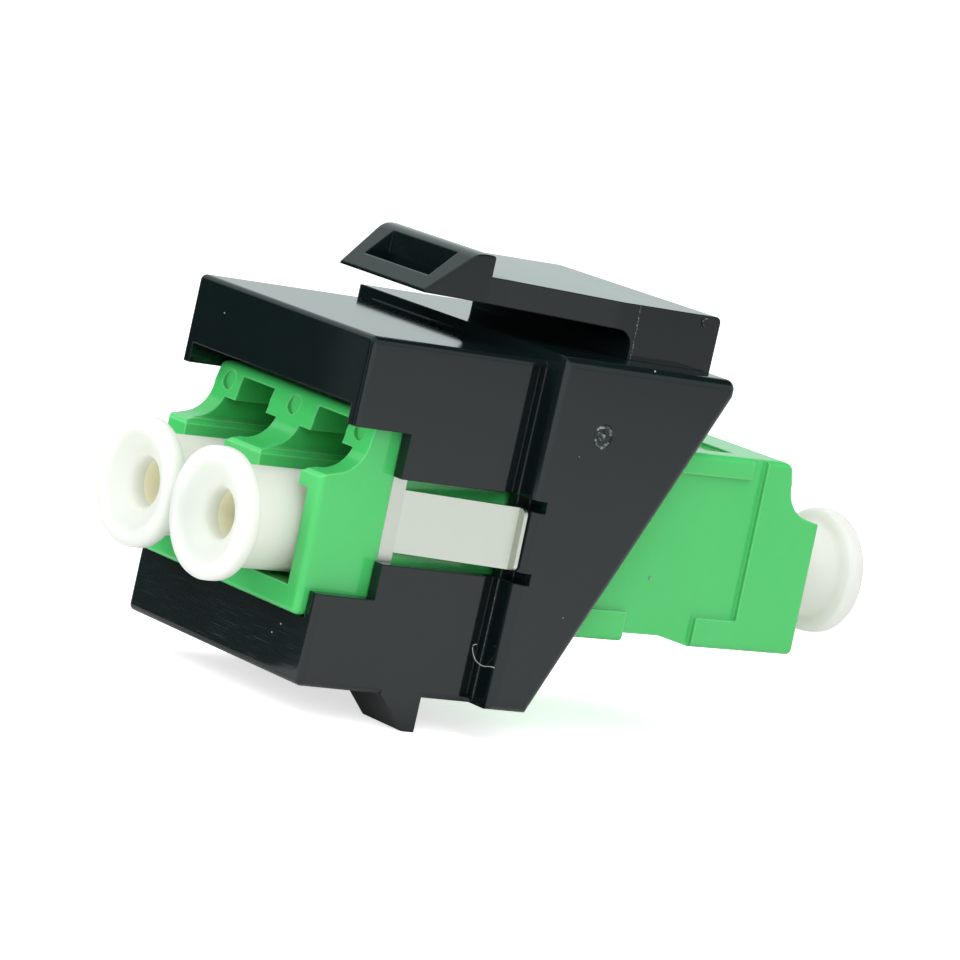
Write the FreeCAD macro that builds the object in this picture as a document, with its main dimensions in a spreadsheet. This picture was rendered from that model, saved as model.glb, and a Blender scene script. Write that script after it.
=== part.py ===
import FreeCAD, Part
import math
import os
import Sketcher

# Fibre optic keystone jack: a duplex adapter for LC plugs in a snap-in housing, with its dust caps.
# X runs across the jack, Y from its front face to its back, Z up from the underside of the front block.
# Every length is in millimetres.

doc = FreeCAD.newDocument("keystone_jack")
sheet = doc.addObject("Spreadsheet::Sheet", "sizes")

driving_sizes = {
    # Duplex adapter
    "adapter_width": 12.9,
    "adapter_tall": 9.3,
    "adapter_length": 29.6,
    "adapter_overhang": 0.5,
    "adapter_tilt": 1.2,
    "adapter_seat": 0.03,
    "port_pitch": 6.25,
    "port_width": 4.8,
    "port_rise": 3.7,
    "port_floor": 1.2,
    "rail_rise": 2.0,
    "rail_tall": 0.9,
    "rail_gap": 3.3,
    "rail_round": 0.25,
    "shoulder_width": 4.35,
    "shoulder_rise": 4.0,
    "notch_width": 2.6,
    "notch_length": 6.5,
    "roof_wall": 0.45,
    "middle_wall": 1.2,
    "mouth_set_back": 2.45,
    "mouth_lean": 0.15,
    "scoop_radius": 1.65,
    "scoop_rise": 1.64,
    "lip_rise": 6.35,
    "lip_slope": 0.31,
    "lip_length": 0.95,
    "pin_mark": 0.9,
    "pin_mark_deep": 0.08,
    "pin_mark_rise": 8.5,
    "pin_mark_spread": 5.4,
    "recess_margin": 3.95,
    "recess_foot": 1.45,
    "recess_head": 1.0,
    "recess_deep": 0.25,
    "relief_start": 6.4,
    "relief_slope": 1.9,
    "relief_end": 10.65,
    "relief_deep": 0.4,
    "roof_recess_start": 5.3,
    "roof_recess_width": 10.6,
    "roof_recess_deep": 0.15,
    # Ferrule sleeves and the bosses that hold them
    "boss_diameter": 3.0,
    "boss_length": 4.4,
    "sleeve_outer": 1.6,
    "sleeve_bore": 1.25,
    "sleeve_length": 6.8,
    "sleeve_slit": 0.2,
    "sleeve_play": 0.05,
    "ferrule_entry": 1.4,
    # Housing, front block
    "fit_clearance": 0.1,
    "passage_play": 0.43,
    "side_wall": 0.65,
    "sill_height": 3.05,
    "hood_height": 3.2,
    "hood_wall": 1.2,
    "block_depth": 9.95,
    "window_depth": 3.2,
    "window_sill": 1.25,
    "window_head": 0.95,
    "slot_middle": 7.95,
    "slot_tall": 3.95,
    "notch_step": 0.75,
    "notch_tall": 0.55,
    "groove_start": 0.8,
    "groove_lip": 0.06,
    "groove_deep": 0.42,
    "groove_end": 0.3,
    # Housing, rear body
    "stop_step": 1.3,
    "body_step": 0.5,
    "body_depth": 10.3,
    "foot_depth": 2.3,
    "body_lip": 0.8,
    "body_wall": 1.5,
    "mark_radius": 0.55,
    "mark_back": 3.05,
    "mark_height": 13.3,
    "mark_deep": 0.06,
    # Fixed hooks under the front block
    "hook_width": 3.1,
    "hook_front": 4.7,
    "hook_back": 7.0,
    "hook_drop": 1.6,
    "hook_tip": 0.7,
    # Latch arm on its post
    "arm_gap": 1.35,
    "arm_thickness": 1.25,
    "arm_width": 12.4,
    "post_depth": 5.0,
    "slot_round": 0.7,
    "hinge_reach": 0.75,
    "hinge_play": 0.03,
    "panel_slot": 1.8,
    "catch_rise": 0.97,
    "catch_width": 8.1,
    "ramp_length": 3.15,
    "ramp_width": 6.85,
    "ramp_tip": 0.15,
    "ramp_run": 2.3,
    "peak_round": 1.2,
    "ramp_round": 0.12,
    "pocket_width": 5.2,
    "pocket_start": 0.65,
    "pocket_length": 1.4,
    "pocket_floor": 0.25,
    # Spring clip that holds the adapter
    "clip_thickness": 0.2,
    "clip_strip": 0.8,
    "clip_foot": 2.6,
    "leaf_tall": 2.9,
    "leaf_flare": 1.65,
    "leaf_lip": 0.43,
    # Dust caps
    "cap_reach": 3.55,
    "rear_cap_reach": 3.8,
    "flange_diameter": 6.1,
    "flange_thickness": 1.0,
    "dish_diameter": 4.9,
    "dish_deep": 0.6,
    "stem_diameter": 4.7,
    "stem_insertion": 7.0,
    "cap_bore": 2.3,
    "cap_bore_deep": 4.0,
    "stem_bore": 3.4,
    "stem_bore_deep": 5.0,
    # Edge rounds
    "edge_round": 0.3,
    "corner_round": 0.45,
    "flank_round": 0.3,
}
for row, (alias, size) in enumerate(driving_sizes.items(), start=1):
    sheet.set("A%d" % row, alias)
    sheet.set("B%d" % row, str(size))
    sheet.setAlias("B%d" % row, alias)
doc.recompute()

# Sizes that follow from the driving ones, as expressions on the sheet
adapter_half = "sizes.adapter_width / 2"
adapter_floor = "(sizes.sill_height + sizes.adapter_seat)"
half_length = "(sizes.adapter_length / 2)"
adapter_frame = (
    "placement(vector(0; -sizes.adapter_overhang; %s); rotation(vector(1; 0; 0); sizes.adapter_tilt))"
    % adapter_floor
)
passage_half = "(sizes.adapter_width / 2 + sizes.fit_clearance)"
passage_top = "(sizes.sill_height + sizes.adapter_tall + sizes.clip_thickness + sizes.passage_play)"
block_half = "(%s + sizes.side_wall)" % passage_half
block_top = "(%s + sizes.hood_height)" % passage_top
body_half = "(%s + sizes.stop_step)" % block_half
body_width = "(2 * %s)" % body_half
body_top = "(%s + sizes.body_step)" % block_top
body_back = "(sizes.block_depth + sizes.body_depth)"
arm_bottom = "(%s + sizes.arm_gap)" % body_top
arm_top = "(%s + sizes.arm_thickness)" % arm_bottom
catch_back = "(sizes.block_depth - sizes.panel_slot)"
catch_top = "(%s + sizes.catch_rise)" % arm_top
ramp_front = "(%s - sizes.ramp_length)" % catch_back
ramp_head = "(%s + sizes.ramp_run)" % ramp_front
post_front = "(%s - sizes.post_depth)" % body_back
hinge_back = "(%s - sizes.hinge_reach)" % post_front
hinge_height = "(%s + sizes.arm_thickness / 2)" % arm_bottom
beyond = 1.0


def value(expression):
    """The number that a size expression has now."""
    return float(sheet.evalExpression(str(expression)))


def new_body(label):
    body = doc.addObject("PartDesign::Body", label)
    body.Label = label
    return body


def new_sketch(body, role, offset="0"):
    """A sketch on one of the body's own planes, moved along the plane's normal."""
    plane = [feature for feature in body.Origin.OriginFeatures if feature.Role == role][0]
    sketch = body.newObject("Sketcher::SketchObject", body.Name + "_sketch")
    sketch.AttachmentSupport = [(plane, "")]
    sketch.MapMode = "FlatFace"
    sketch.setExpression("AttachmentOffset.Base.z", offset)
    return sketch


def place_point(sketch, edge, end, point):
    """Ties one end of an edge to the sketch's origin by two size expressions."""
    for kind, expression in zip(("DistanceX", "DistanceY"), point):
        constraint = Sketcher.Constraint(kind, -1, 1, edge, end, value(expression))
        number = sketch.addConstraint(constraint)
        sketch.setExpression("Constraints[%d]" % number, str(expression))


def arc_through(start, end, radius, side):
    """An arc between two points, its centre left (1) or right (-1) of the way from start to end."""
    chord = end - start
    across = FreeCAD.Vector(-chord.y, chord.x, 0).normalize()
    centre = (start + end) / 2 + across * math.sqrt(radius ** 2 - (chord.Length / 2) ** 2) * side
    circle = Part.Circle(centre, FreeCAD.Vector(0, 0, 1), radius)
    first, last = (start, end) if side > 0 else (end, start)
    return Part.ArcOfCircle(circle, circle.parameter(first), circle.parameter(last))


def draw_outline(sketch, points, arcs=None):
    """A closed outline through points given as pairs of size expressions.

    arcs maps the number of an edge to its radius expression and the side of its centre.
    """
    arcs = arcs or {}
    first = sketch.GeometryCount
    count = len(points)
    vectors = [FreeCAD.Vector(value(x), value(y), 0) for x, y in points]
    starts = []
    ends = []
    for number in range(count):
        start = vectors[number]
        end = vectors[(number + 1) % count]
        if number in arcs:
            radius, side = arcs[number]
            edge = sketch.addGeometry(arc_through(start, end, value(radius), side))
            starts.append(1 if side > 0 else 2)
            ends.append(2 if side > 0 else 1)
            size = sketch.addConstraint(Sketcher.Constraint("Radius", edge, value(radius)))
            sketch.setExpression("Constraints[%d]" % size, str(radius))
        else:
            sketch.addGeometry(Part.LineSegment(start, end))
            starts.append(1)
            ends.append(2)
    for number in range(count):
        follower = (number + 1) % count
        touch = (first + number, ends[number], first + follower, starts[follower])
        sketch.addConstraint(Sketcher.Constraint("Coincident", *touch))
        place_point(sketch, first + number, starts[number], points[number])


def draw_rectangle(sketch, left, bottom, right, top):
    draw_outline(sketch, [(left, bottom), (right, bottom), (right, top), (left, top)])


def draw_circle(sketch, centre, radius):
    middle = FreeCAD.Vector(value(centre[0]), value(centre[1]), 0)
    edge = sketch.addGeometry(Part.Circle(middle, FreeCAD.Vector(0, 0, 1), value(radius)))
    size = sketch.addConstraint(Sketcher.Constraint("Radius", edge, value(radius)))
    sketch.setExpression("Constraints[%d]" % size, str(radius))
    place_point(sketch, edge, 3, centre)


def add_feature(body, kind, sketch, length, symmetric=False, backwards=False):
    """A Pad or a Pocket of the sketch. Its effect on the body's volume is checked."""
    before = body.Shape.Volume if body.Tip else 0.0
    feature = body.newObject("PartDesign::" + kind, body.Name + "_" + kind.lower())
    feature.Profile = sketch
    feature.setExpression("Length", str(length))
    feature.Midplane = symmetric
    feature.Reversed = backwards
    doc.recompute()
    grown = body.Shape.Volume - before
    if (kind == "Pad") != (grown > 0):
        raise ValueError("%s of %s has the wrong direction" % (kind, body.Label))
    return feature


def mirror(body, feature, role="YZ_Plane"):
    """Repeats a feature on the other side of one of the body's planes."""
    plane = [part for part in body.Origin.OriginFeatures if part.Role == role][0]
    copy = body.newObject("PartDesign::Mirrored", body.Name + "_mirrored")
    copy.Originals = [feature]
    copy.MirrorPlane = (plane, [""])
    body.Tip = copy
    doc.recompute()
    return copy


def edges_where(shape, chosen, curved):
    """Names of the edges whose two ends both pass the test, curved ones too if asked."""
    names = []
    for number, edge in enumerate(shape.Edges, start=1):
        ends = [vertex.Point for vertex in edge.Vertexes]
        if len(ends) != 2 or not (curved or isinstance(edge.Curve, Part.Line)):
            continue
        if chosen(ends[0], ends[1]):
            names.append("Edge%d" % number)
    return names


def dress(body, kind, chosen, size, curved=False):
    """A Fillet or Chamfer on the body's edges that pass the test."""
    base = body.Tip
    feature = body.newObject("PartDesign::" + kind, body.Name + "_" + kind.lower())
    feature.Base = (base, edges_where(base.Shape, chosen, curved))
    feature.setExpression("Radius" if kind == "Fillet" else "Size", str(size))
    doc.recompute()
    if "Invalid" in feature.State:
        raise ValueError("%s of %s can't be made" % (kind, body.Label))
    return feature


def near(first, second):
    return abs(first - second) < 0.001


def seat_on_adapter(body, across, along, up, turned=False):
    """Places a piece in the adapter's own frame, which leans a little in the housing."""
    spin = 180 if turned else 0
    place = "placement(vector(%s; %s; %s); rotation(vector(0; 0; 1); %d))" % (across, along, up, spin)
    body.setExpression("Placement", adapter_frame + " * " + place)
    doc.recompute()


# Keystone housing: front block, wedge-sided rear body, latch post and fixed hooks in one moulding

def build_block(body):
    sketch = new_sketch(body, "XZ_Plane")
    draw_rectangle(sketch, "-" + block_half, "0", block_half, block_top)
    add_feature(body, "Pad", sketch, "sizes.block_depth + sizes.body_wall", backwards=True)


def build_rear_body(body):
    """Rear body drawn from the side, its back edge slanting in towards the foot."""
    sketch = new_sketch(body, "YZ_Plane")
    lip = "%s - sizes.body_lip" % body_top
    draw_outline(sketch, [
        ("sizes.block_depth", "0"),
        ("sizes.block_depth + sizes.foot_depth", "0"),
        (body_back, lip),
        (body_back, body_top),
        ("sizes.block_depth", body_top),
    ])
    add_feature(body, "Pad", sketch, body_width, symmetric=True)


def round_housing(body):
    """Rounds the upright corners of the block and the long outer edges of the rear body."""
    half = value(block_half)
    top = value(block_top)
    wide = value(body_half)
    high = value(body_top)
    back = value(body_back)

    def on_block(first, second):
        in_front = near(first.y, 0) and near(second.y, 0)
        upright = in_front and near(abs(first.x), half) and near(first.x, second.x)
        across = in_front and near(first.z, second.z)
        return upright or (across and (near(first.z, top) or near(first.z, 0)))

    def along_block(first, second):
        same = near(first.z, second.z) and near(first.x, second.x) and near(abs(first.x), half)
        return same and (near(first.z, top) or near(first.z, 0)) and not near(first.y, second.y)

    def on_body(first, second):
        outer = near(abs(first.x), wide) and near(abs(second.x), wide) and near(first.x, second.x)
        across = near(first.y, back) and near(second.y, back) and near(first.z, high) and near(second.z, high)
        return outer or across

    dress(body, "Fillet", lambda a, b: on_block(a, b) or along_block(a, b), "sizes.edge_round")
    dress(body, "Fillet", on_body, "sizes.corner_round")


def hollow_rear_body(body):
    """Opens the rear body behind its stop wall, leaving side, top and bottom plates."""
    sketch = new_sketch(body, "XZ_Plane", "-(sizes.block_depth + sizes.body_wall)")
    inner = "(%s - sizes.body_wall)" % body_half
    draw_rectangle(sketch, "-" + inner, "sizes.body_wall", inner, "%s - sizes.body_wall" % body_top)
    add_feature(body, "Pocket", sketch, "sizes.body_depth", backwards=False)


def cut_passage(body):
    """The passage that the adapter slides through, open under the hood."""
    sketch = new_sketch(body, "XZ_Plane")
    draw_rectangle(sketch, "-" + passage_half, "sizes.sill_height", passage_half, passage_top)
    add_feature(body, "Pocket", sketch, "sizes.block_depth + 2 * sizes.body_wall")


def hollow_hood(body):
    """The space inside the hood, over the adapter."""
    sketch = new_sketch(body, "YZ_Plane")
    draw_rectangle(
        sketch,
        "sizes.hood_wall",
        "%s - %s" % (passage_top, beyond),
        "sizes.block_depth - sizes.hood_wall",
        "%s - sizes.hood_wall" % block_top,
    )
    add_feature(body, "Pocket", sketch, "2 * (%s - sizes.hood_wall)" % block_half, symmetric=True)


def cut_side_windows(body):
    """The tall window at the front of both side walls, and the slot behind it for the clip's leaf."""
    sketch = new_sketch(body, "YZ_Plane")
    draw_rectangle(
        sketch,
        "-%s" % beyond,
        "sizes.sill_height + sizes.window_sill",
        "sizes.window_depth",
        "%s - sizes.window_head" % passage_top,
    )
    add_feature(body, "Pocket", sketch, body_width, symmetric=True)
    slot = new_sketch(body, "YZ_Plane")
    draw_rectangle(
        slot,
        "sizes.window_depth - sizes.fit_clearance",
        "sizes.slot_middle - sizes.slot_tall / 2",
        "sizes.block_depth",
        "sizes.slot_middle + sizes.slot_tall / 2",
    )
    add_feature(body, "Pocket", slot, body_width, symmetric=True)


def cut_stop_notches(body):
    """Small notches in the stop wall at the top and bottom of each clip slot."""
    for side in (-1, 1):
        edge = "sizes.slot_middle + %d * sizes.slot_tall / 2" % side
        inner = "sizes.slot_middle + %d * (sizes.slot_tall / 2 - sizes.notch_tall)" % side
        sketch = new_sketch(body, "YZ_Plane", block_half)
        draw_rectangle(
            sketch,
            "sizes.block_depth - %s" % beyond,
            inner if side > 0 else edge,
            "sizes.block_depth + sizes.notch_step",
            edge if side > 0 else inner,
        )
        notch = add_feature(body, "Pocket", sketch, "%s - %s" % (body_half, block_half), backwards=True)
        mirror(body, notch)


def cut_grooves(body):
    """The upright groove in each side of the block, just in front of the stop wall."""
    sketch = new_sketch(body, "YZ_Plane", "%s - sizes.groove_deep" % block_half)
    draw_rectangle(
        sketch,
        "sizes.block_depth - sizes.groove_start",
        "sizes.groove_end",
        "sizes.block_depth - sizes.groove_lip",
        "%s - sizes.groove_end" % block_top,
    )
    groove = add_feature(body, "Pocket", sketch, "sizes.groove_deep + sizes.fit_clearance", backwards=True)
    mirror(body, groove)


def build_hooks(body):
    """Two fixed hooks that catch the lower edge of the frame, flush with the block's sides."""
    sketch = new_sketch(body, "YZ_Plane", "%s - sizes.hook_width" % block_half)
    draw_outline(sketch, [
        ("sizes.hook_front", "sizes.edge_round"),
        ("sizes.hook_front", "0"),
        ("sizes.hook_back - sizes.hook_tip", "-sizes.hook_drop"),
        ("sizes.hook_back", "-sizes.hook_drop"),
        ("sizes.hook_back", "sizes.edge_round"),
    ])
    hook = add_feature(body, "Pad", sketch, "sizes.hook_width")
    mirror(body, hook)


def build_post(body):
    """The post that carries the latch arm, with the socket for the arm's round root."""
    sketch = new_sketch(body, "YZ_Plane")
    foot = "%s - (sizes.corner_round + sizes.body_lip) / 2" % body_top
    draw_outline(sketch, [
        (post_front, foot),
        (body_back, foot),
        (body_back, arm_top),
        (hinge_back, arm_top),
        (hinge_back, arm_bottom),
        ("%s - sizes.slot_round" % post_front, arm_bottom),
        (post_front, "%s - sizes.slot_round" % arm_bottom),
    ], arcs={5: ("sizes.slot_round", -1)})
    add_feature(body, "Pad", sketch, "sizes.arm_width", symmetric=True)
    high = value(arm_top)
    half = value("sizes.arm_width / 2")
    back = value(body_back)

    def rear_corner(first, second):
        across = near(first.y, back) and near(second.y, back) and near(first.z, high) and near(second.z, high)
        return across and near(abs(first.x), half)

    dress(body, "Fillet", rear_corner, "sizes.edge_round")
    socket = new_sketch(body, "YZ_Plane")
    draw_circle(socket, (hinge_back, hinge_height), "sizes.arm_thickness / 2 + sizes.hinge_play")
    add_feature(body, "Pocket", socket, body_width, symmetric=True)


def mark_sides(body):
    """The shallow round mark that the ejector pin leaves in each side plate."""
    sketch = new_sketch(body, "YZ_Plane", "%s - sizes.mark_deep" % body_half)
    draw_circle(sketch, ("sizes.block_depth + sizes.mark_back", "sizes.mark_height"), "sizes.mark_radius")
    mark = add_feature(body, "Pocket", sketch, "sizes.mark_deep", backwards=True)
    mirror(body, mark)


def build_housing():
    body = new_body("keystone_housing")
    build_block(body)
    build_rear_body(body)
    round_housing(body)
    hollow_rear_body(body)
    cut_passage(body)
    hollow_hood(body)
    cut_side_windows(body)
    cut_stop_notches(body)
    cut_grooves(body)
    build_hooks(body)
    build_post(body)
    mark_sides(body)
    return body


# Latch arm: tapered spring arm, its catch with a ramp in front, its round root in the post

def build_arm():
    body = new_body("latch_arm")
    plan = new_sketch(body, "XY_Plane", arm_bottom)
    outline = [
        ("sizes.ramp_width / 2", ramp_front),
        ("sizes.catch_width / 2", catch_back),
        ("sizes.arm_width / 2", post_front),
        ("sizes.arm_width / 2", "%s + sizes.arm_thickness" % post_front),
    ]
    mirrored = [("-(%s)" % x, y) for x, y in reversed(outline)]
    draw_outline(plan, outline + mirrored)
    add_feature(body, "Pad", plan, "sizes.arm_thickness + sizes.catch_rise")

    over_arm = new_sketch(body, "YZ_Plane")
    draw_rectangle(
        over_arm,
        catch_back,
        arm_top,
        "%s + 2 * sizes.arm_thickness" % post_front,
        "%s + %s" % (catch_top, beyond),
    )
    add_feature(body, "Pocket", over_arm, body_width, symmetric=True)

    over_ramp = new_sketch(body, "YZ_Plane")
    draw_outline(over_ramp, [
        (ramp_front, "%s + sizes.ramp_tip" % arm_bottom),
        (ramp_head, catch_top),
        (ramp_head, "%s + %s" % (catch_top, beyond)),
        ("%s - %s" % (ramp_front, beyond), "%s + %s" % (catch_top, beyond)),
        ("%s - %s" % (ramp_front, beyond), "%s + sizes.ramp_tip" % arm_bottom),
    ])
    add_feature(body, "Pocket", over_ramp, body_width, symmetric=True)
    tip = value("%s + sizes.ramp_tip" % arm_bottom)
    peak = value(catch_top)
    head = value(ramp_head)
    back = value(catch_back)
    side = value("sizes.ramp_width / 2")

    def ramp_peak(first, second):
        return near(first.y, head) and near(second.y, head) and near(first.z, peak) and near(second.z, peak)

    def ramp_rim(first, second):
        if near(first.y, second.y):
            return near(first.y, back) and near(first.z, peak) and near(second.z, peak)
        above = min(first.z, second.z) > tip - 0.001 and max(first.z, second.z) > tip + 0.001
        return above and max(first.y, second.y) < back + 0.001 and min(abs(first.x), abs(second.x)) > side - 0.001

    dress(body, "Fillet", ramp_peak, "sizes.peak_round")
    dress(body, "Fillet", ramp_rim, "sizes.ramp_round", curved=True)

    root = new_sketch(body, "YZ_Plane")
    far = "%s + 2 * sizes.arm_thickness" % post_front
    draw_outline(root, [
        (hinge_back, arm_top),
        (hinge_back, "%s + %s" % (arm_top, beyond)),
        (far, "%s + %s" % (arm_top, beyond)),
        (far, "%s - %s" % (arm_bottom, beyond)),
        (hinge_back, "%s - %s" % (arm_bottom, beyond)),
        (hinge_back, arm_bottom),
    ], arcs={5: ("sizes.arm_thickness / 2 + 0.0001", 1)})
    add_feature(body, "Pocket", root, body_width, symmetric=True)

    pocket = new_sketch(body, "XY_Plane", "%s + sizes.pocket_floor" % arm_bottom)
    draw_rectangle(
        pocket,
        "-sizes.pocket_width / 2",
        "%s + sizes.pocket_start" % ramp_front,
        "sizes.pocket_width / 2",
        "%s + sizes.pocket_start + sizes.pocket_length" % ramp_front,
    )
    add_feature(body, "Pocket", pocket, "2 * sizes.catch_rise + sizes.arm_thickness", backwards=True)
    return body


# Adapter halves: each has two ports, a scooped face over them and half of each sleeve's seat

def cut_port(body, centre):
    """One port: the plug's room, the gap between two rails, and the latch's room over them."""
    depth = "%s - sizes.middle_wall / 2" % half_length
    rail_foot = "(sizes.port_rise + sizes.rail_rise)"
    rail_head = "(%s + sizes.rail_tall)" % rail_foot
    shoulder = "(sizes.port_rise + sizes.shoulder_rise)"
    roof = "sizes.adapter_tall - sizes.roof_wall"

    def level(width, height):
        return ("%s + %s / 2" % (centre, width), height), ("%s - %s / 2" % (centre, width), height)

    rounded = "(sizes.rail_gap + 2 * sizes.rail_round)"
    steps = [
        level("sizes.port_width", "sizes.port_floor"),
        level("sizes.port_width", rail_foot),
        level("sizes.rail_gap", rail_foot),
        level("sizes.rail_gap", "%s - sizes.rail_round" % rail_head),
        level(rounded, rail_head),
        level("sizes.shoulder_width", rail_head),
        level("sizes.shoulder_width", shoulder),
    ]
    right = [step[0] for step in steps]
    left = [step[1] for step in reversed(steps)]
    main = new_sketch(body, "XZ_Plane")
    draw_outline(main, right + left, arcs={3: ("sizes.rail_round", 1), 9: ("sizes.rail_round", 1)})
    add_feature(body, "Pocket", main, depth)
    notch = new_sketch(body, "XZ_Plane")
    draw_rectangle(
        notch,
        "%s - sizes.notch_width / 2" % centre,
        "%s - sizes.fit_clearance" % shoulder,
        "%s + sizes.notch_width / 2" % centre,
        roof,
    )
    add_feature(body, "Pocket", notch, "sizes.notch_length")


def build_sleeve_seat(body, centre):
    """The boss round the sleeve, its bore and the narrower entry for the ferrule."""
    axis = (centre, "sizes.port_rise")
    boss = new_sketch(body, "XZ_Plane", "-(%s)" % half_length)
    draw_circle(boss, axis, "sizes.boss_diameter / 2")
    add_feature(body, "Pad", boss, "sizes.middle_wall / 2 + sizes.boss_length")
    entry = new_sketch(body, "XZ_Plane", "-(%s)" % half_length)
    draw_circle(entry, axis, "sizes.ferrule_entry / 2")
    add_feature(body, "Pocket", entry, half_length, backwards=True)
    seat = new_sketch(body, "XZ_Plane", "-(%s)" % half_length)
    draw_circle(seat, axis, "sizes.sleeve_outer / 2 + sizes.sleeve_play")
    add_feature(body, "Pocket", seat, "sizes.sleeve_length / 2 + sizes.sleeve_play", backwards=True)


def build_adapter_half(label, turned):
    """Half an adapter in its own frame: mouth at Y 0 facing -Y, floor at Z 0."""
    body = new_body(label)
    tall = "sizes.adapter_tall"
    past_middle = "%s + %s" % (half_length, beyond)
    section = new_sketch(body, "XZ_Plane")
    draw_rectangle(section, "-" + adapter_half, "0", adapter_half, tall)
    add_feature(body, "Pad", section, half_length, backwards=True)
    middle = value(half_length)
    dress(body, "Fillet", lambda a, b: not (near(a.y, middle) and near(b.y, middle)), "sizes.flank_round")

    mouth = new_sketch(body, "YZ_Plane")
    lip_top = "sizes.lip_rise + sizes.lip_slope"
    draw_outline(mouth, [
        ("-%s" % beyond, "sizes.lip_rise"),
        ("0", "sizes.lip_rise"),
        ("sizes.lip_length / 5", "sizes.lip_rise + sizes.lip_slope / 2"),
        ("sizes.lip_length", lip_top),
        ("sizes.mouth_set_back - sizes.mouth_lean", "%s + sizes.scoop_rise" % lip_top),
        ("sizes.mouth_set_back", "%s - sizes.corner_round" % tall),
        ("sizes.mouth_set_back + sizes.corner_round", tall),
        ("sizes.mouth_set_back + sizes.corner_round", "%s + %s" % (tall, beyond)),
        ("-%s" % beyond, "%s + %s" % (tall, beyond)),
    ], arcs={
        3: ("sizes.scoop_radius", 1),
        5: ("sizes.corner_round", -1),
    })
    add_feature(body, "Pocket", mouth, body_width, symmetric=True)

    channel = "sizes.recess_margin + sizes.clip_strip + 2 * sizes.adapter_seat"
    for sign, outwards in (("-", False), ("", True)):
        recess = new_sketch(body, "YZ_Plane", "%s(%s - sizes.recess_deep)" % (sign, adapter_half))
        draw_outline(recess, [
            ("sizes.recess_margin", "sizes.recess_foot"),
            ("sizes.relief_start", "sizes.recess_foot"),
            ("sizes.relief_start", "-%s" % beyond),
            ("sizes.relief_end", "-%s" % beyond),
            ("sizes.relief_end", "sizes.recess_foot"),
            (past_middle, "sizes.recess_foot"),
            (past_middle, "%s - sizes.recess_head" % tall),
            (channel, "%s - sizes.recess_head" % tall),
            (channel, "%s + %s" % (tall, beyond)),
            ("sizes.recess_margin", "%s + %s" % (tall, beyond)),
        ])
        add_feature(body, "Pocket", recess, "sizes.recess_deep + %s" % beyond, backwards=outwards)

    relief = new_sketch(body, "YZ_Plane")
    draw_outline(relief, [
        ("sizes.relief_start", "-%s" % beyond),
        ("sizes.relief_start", "0"),
        ("sizes.relief_start + sizes.relief_slope", "sizes.relief_deep"),
        ("sizes.relief_end", "sizes.relief_deep"),
        ("sizes.relief_end", "-%s" % beyond),
    ])
    add_feature(body, "Pocket", relief, body_width, symmetric=True)

    roof = new_sketch(body, "XY_Plane", "%s - sizes.roof_recess_deep" % tall)
    draw_rectangle(
        roof,
        "-sizes.roof_recess_width / 2",
        "sizes.roof_recess_start",
        "sizes.roof_recess_width / 2",
        past_middle,
    )
    add_feature(body, "Pocket", roof, "sizes.roof_recess_deep", backwards=True)

    for sign in ("-", "0 * ", ""):
        mark = new_sketch(body, "XZ_Plane")
        draw_circle(mark, ("%ssizes.pin_mark_spread" % sign, "sizes.pin_mark_rise"), "sizes.pin_mark / 2")
        add_feature(body, "Pocket", mark, "sizes.mouth_set_back + sizes.pin_mark_deep")

    for sign in ("-", ""):
        cut_port(body, "%ssizes.port_pitch / 2" % sign)
    for sign in ("-", ""):
        build_sleeve_seat(body, "%ssizes.port_pitch / 2" % sign)
    seat_on_adapter(body, "0", "sizes.adapter_length" if turned else "0", "0", turned)
    return body


# Split ferrule sleeves

def build_sleeve(label, centre):
    body = new_body(label)
    ring = new_sketch(body, "XZ_Plane")
    draw_circle(ring, ("0", "0"), "sizes.sleeve_outer / 2")
    draw_circle(ring, ("0", "0"), "sizes.sleeve_bore / 2")
    add_feature(body, "Pad", ring, "sizes.sleeve_length", symmetric=True)
    slit = new_sketch(body, "XZ_Plane")
    draw_rectangle(slit, "-sizes.sleeve_slit / 2", "0", "sizes.sleeve_slit / 2", "sizes.sleeve_outer")
    add_feature(body, "Pocket", slit, "2 * sizes.sleeve_length", symmetric=True)
    seat_on_adapter(body, centre, half_length, "sizes.port_rise")
    return body


# Spring clip: a strip over the adapter, with a leaf on each side that flares out to the stop wall

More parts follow.
